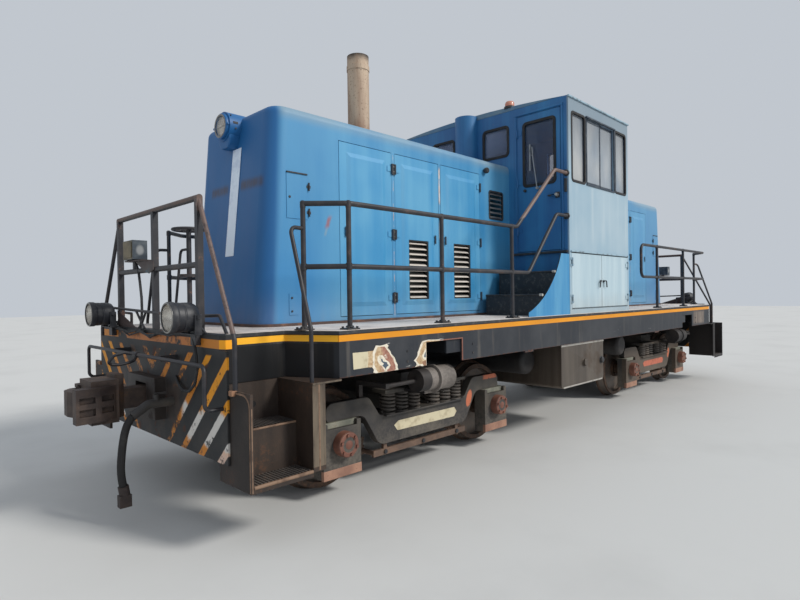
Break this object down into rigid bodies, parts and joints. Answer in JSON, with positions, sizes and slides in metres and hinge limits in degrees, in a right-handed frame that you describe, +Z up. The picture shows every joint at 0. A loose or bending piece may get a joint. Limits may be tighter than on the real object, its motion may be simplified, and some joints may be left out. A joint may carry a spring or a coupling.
{
  "type": "diesel locomotive",
  "caption": "Centre-cab diesel switching locomotive on two four-wheel trucks, with a long louvred hood each way from the cab.",
  "frame": {"origin": "the floor under the wheel flanges, midway along and across the locomotive", "axes": "+X towards the front end, +Y towards the left side, +Z up"},
  "size_m": [11.192, 2.99, 4.219],
  "materials": {
    "hood_blue": "weathered satin paint",
    "cab_blue": "faded satin paint",
    "deck_grey": "worn tread plate",
    "sill_black": "weathered paint",
    "rail_black": "worn gloss paint",
    "step_rust": "rusted paint",
    "roof_grey": "dusty paint",
    "glass": "clear, dusty",
    "cab_inside_grey": "satin paint",
    "engine_iron": "oily",
    "exhaust_steel": "sooty, rusted",
    "lamp_metal": "satin paint",
    "tank_steel": "dull, stained",
    "coupler_rust": "rusted",
    "hose_rubber": "matt",
    "wheel_steel": "rusty web, worn tread",
    "truck_iron": "dusty black paint",
    "spring_steel": "dusty black paint",
    "journal_iron": "red-brown paint",
    "brake_iron": "dusty, rusted"
  },
  "bodies": {
    "frame": {"deck_plate": "deck_grey", "underframe": "sill_black", "jack_pads": "sill_black", "end_sheets": "sill_black", "step_wells": "step_rust", "side_handrails": "rail_black", "end_handrails": "rail_black", "hood_shells": "hood_blue", "engine_blocks": "engine_iron", "exhaust_stacks": "exhaust_steel", "lamps": "lamp_metal", "cab_walls": "cab_blue", "cab_roof": "roof_grey", "cab_glass": "glass", "cab_fittings": "cab_inside_grey", "cab_steps": "sill_black", "fuel_tank": "tank_steel", "air_reservoirs": "sill_black", "couplers": "coupler_rust", "uncoupling_levers": "rail_black", "angle_cock": "coupler_rust", "brake_hose": "hose_rubber", "hose_coupling": "coupler_rust", "hand_brake": "rail_black"},
    "truck_front": {"truck_front_frame": "truck_iron", "truck_front_springs": "spring_steel", "truck_front_axle_boxes": "journal_iron", "truck_front_motors": "engine_iron", "truck_front_brakes": "brake_iron"},
    "wheelset_front_outer": {"wheelset_front_outer": "wheel_steel"},
    "wheelset_front_inner": {"wheelset_front_inner": "wheel_steel"},
    "hood_door_front_left_1": {"hood_door_front_left_1": "hood_blue"},
    "hood_door_front_left_2": {"hood_door_front_left_2": "hood_blue"},
    "hood_door_front_left_3": {"hood_door_front_left_3": "hood_blue"},
    "cabinet_door_front_left": {"cabinet_door_front_left": "cab_blue"},
    "hood_door_front_right_1": {"hood_door_front_right_1": "hood_blue"},
    "hood_door_front_right_2": {"hood_door_front_right_2": "hood_blue"},
    "hood_door_front_right_3": {"hood_door_front_right_3": "hood_blue"},
    "cabinet_door_front_right": {"cabinet_door_front_right": "cab_blue"},
    "cab_door_front": {"cab_door_front": "cab_blue", "cab_door_glass_front": "glass"},
    "coupler_knuckle_front": {"coupler_knuckle_front": "coupler_rust"},
    "truck_rear": {"truck_rear_frame": "truck_iron", "truck_rear_springs": "spring_steel", "truck_rear_axle_boxes": "journal_iron", "truck_rear_motors": "engine_iron", "truck_rear_brakes": "brake_iron"},
    "wheelset_rear_outer": {"wheelset_rear_outer": "wheel_steel"},
    "wheelset_rear_inner": {"wheelset_rear_inner": "wheel_steel"},
    "hood_door_rear_left_1": {"hood_door_rear_left_1": "hood_blue"},
    "hood_door_rear_left_2": {"hood_door_rear_left_2": "hood_blue"},
    "hood_door_rear_left_3": {"hood_door_rear_left_3": "hood_blue"},
    "cabinet_door_rear_left": {"cabinet_door_rear_left": "cab_blue"},
    "hood_door_rear_right_1": {"hood_door_rear_right_1": "hood_blue"},
    "hood_door_rear_right_2": {"hood_door_rear_right_2": "hood_blue"},
    "hood_door_rear_right_3": {"hood_door_rear_right_3": "hood_blue"},
    "cabinet_door_rear_right": {"cabinet_door_rear_right": "cab_blue"},
    "cab_door_rear": {"cab_door_rear": "cab_blue", "cab_door_glass_rear": "glass"},
    "coupler_knuckle_rear": {"coupler_knuckle_rear": "coupler_rust"}
  },
  "joints": [
    {"name": "truck_front_swivel", "type": "hinge", "parent": "frame", "child": "truck_front", "pos_m": [2.85, 0, 0.9], "axis": [0, 0, 1], "range_deg": [-7, 7]},
    {"name": "wheelset_front_outer_spin", "type": "hinge", "parent": "truck_front", "child": "wheelset_front_outer", "pos_m": [3.909, 0, 0.444], "axis": [0, 1, 0], "continuous": true},
    {"name": "wheelset_front_inner_spin", "type": "hinge", "parent": "truck_front", "child": "wheelset_front_inner", "pos_m": [1.791, 0, 0.444], "axis": [0, 1, 0], "continuous": true},
    {"name": "hood_door_front_left_1_hinge", "type": "hinge", "parent": "frame", "child": "hood_door_front_left_1", "pos_m": [2.886, 0.639, 2.234], "axis": [0, 0, 1], "range_deg": [0, 90]},
    {"name": "hood_door_front_left_2_hinge", "type": "hinge", "parent": "frame", "child": "hood_door_front_left_2", "pos_m": [2.842, 0.639, 2.234], "axis": [0, 0, -1], "range_deg": [0, 90]},
    {"name": "hood_door_front_left_3_hinge", "type": "hinge", "parent": "frame", "child": "hood_door_front_left_3", "pos_m": [1.44, 0.639, 2.234], "axis": [0, 0, 1], "range_deg": [0, 90]},
    {"name": "cabinet_door_front_left_hinge", "type": "hinge", "parent": "frame", "child": "cabinet_door_front_left", "pos_m": [0.775, 1.452, 1.775], "axis": [0, 0, -1], "range_deg": [0, 100]},
    {"name": "hood_door_front_right_1_hinge", "type": "hinge", "parent": "frame", "child": "hood_door_front_right_1", "pos_m": [2.886, -0.639, 2.234], "axis": [0, 0, -1], "range_deg": [0, 90]},
    {"name": "hood_door_front_right_2_hinge", "type": "hinge", "parent": "frame", "child": "hood_door_front_right_2", "pos_m": [2.842, -0.639, 2.234], "axis": [0, 0, 1], "range_deg": [0, 90]},
    {"name": "hood_door_front_right_3_hinge", "type": "hinge", "parent": "frame", "child": "hood_door_front_right_3", "pos_m": [1.44, -0.639, 2.234], "axis": [0, 0, -1], "range_deg": [0, 90]},
    {"name": "cabinet_door_front_right_hinge", "type": "hinge", "parent": "frame", "child": "cabinet_door_front_right", "pos_m": [0.775, -1.452, 1.775], "axis": [0, 0, 1], "range_deg": [0, 100]},
    {"name": "cab_door_front_hinge", "type": "hinge", "parent": "frame", "child": "cab_door_front", "pos_m": [0.835, 0.757, 2.99], "axis": [0, 0, -1], "range_deg": [0, 90]},
    {"name": "coupler_knuckle_front_hinge", "type": "hinge", "parent": "frame", "child": "coupler_knuckle_front", "pos_m": [5.448, -0.118, 0.868], "axis": [0, 0, -1], "range_deg": [0, 50]},
    {"name": "truck_rear_swivel", "type": "hinge", "parent": "frame", "child": "truck_rear", "pos_m": [-2.85, 0, 0.9], "axis": [0, 0, -1], "range_deg": [-7, 7]},
    {"name": "wheelset_rear_outer_spin", "type": "hinge", "parent": "truck_rear", "child": "wheelset_rear_outer", "pos_m": [-3.909, 0, 0.444], "axis": [0, 1, 0], "continuous": true},
    {"name": "wheelset_rear_inner_spin", "type": "hinge", "parent": "truck_rear", "child": "wheelset_rear_inner", "pos_m": [-1.791, 0, 0.444], "axis": [0, 1, 0], "continuous": true},
    {"name": "hood_door_rear_left_1_hinge", "type": "hinge", "parent": "frame", "child": "hood_door_rear_left_1", "pos_m": [-2.886, 0.639, 2.234], "axis": [0, 0, -1], "range_deg": [0, 90]},
    {"name": "hood_door_rear_left_2_hinge", "type": "hinge", "parent": "frame", "child": "hood_door_rear_left_2", "pos_m": [-2.842, 0.639, 2.234], "axis": [0, 0, 1], "range_deg": [0, 90]},
    {"name": "hood_door_rear_left_3_hinge", "type": "hinge", "parent": "frame", "child": "hood_door_rear_left_3", "pos_m": [-1.44, 0.639, 2.234], "axis": [0, 0, -1], "range_deg": [0, 90]},
    {"name": "cabinet_door_rear_left_hinge", "type": "hinge", "parent": "frame", "child": "cabinet_door_rear_left", "pos_m": [-0.775, 1.452, 1.775], "axis": [0, 0, 1], "range_deg": [0, 100]},
    {"name": "hood_door_rear_right_1_hinge", "type": "hinge", "parent": "frame", "child": "hood_door_rear_right_1", "pos_m": [-2.886, -0.639, 2.234], "axis": [0, 0, 1], "range_deg": [0, 90]},
    {"name": "hood_door_rear_right_2_hinge", "type": "hinge", "parent": "frame", "child": "hood_door_rear_right_2", "pos_m": [-2.842, -0.639, 2.234], "axis": [0, 0, -1], "range_deg": [0, 90]},
    {"name": "hood_door_rear_right_3_hinge", "type": "hinge", "parent": "frame", "child": "hood_door_rear_right_3", "pos_m": [-1.44, -0.639, 2.234], "axis": [0, 0, 1], "range_deg": [0, 90]},
    {"name": "cabinet_door_rear_right_hinge", "type": "hinge", "parent": "frame", "child": "cabinet_door_rear_right", "pos_m": [-0.775, -1.452, 1.775], "axis": [0, 0, -1], "range_deg": [0, 100]},
    {"name": "cab_door_rear_hinge", "type": "hinge", "parent": "frame", "child": "cab_door_rear", "pos_m": [-0.835, -0.757, 2.99], "axis": [0, 0, -1], "range_deg": [0, 90]},
    {"name": "coupler_knuckle_rear_hinge", "type": "hinge", "parent": "frame", "child": "coupler_knuckle_rear", "pos_m": [-5.448, 0.118, 0.868], "axis": [0, 0, -1], "range_deg": [0, 50]}
  ]
}
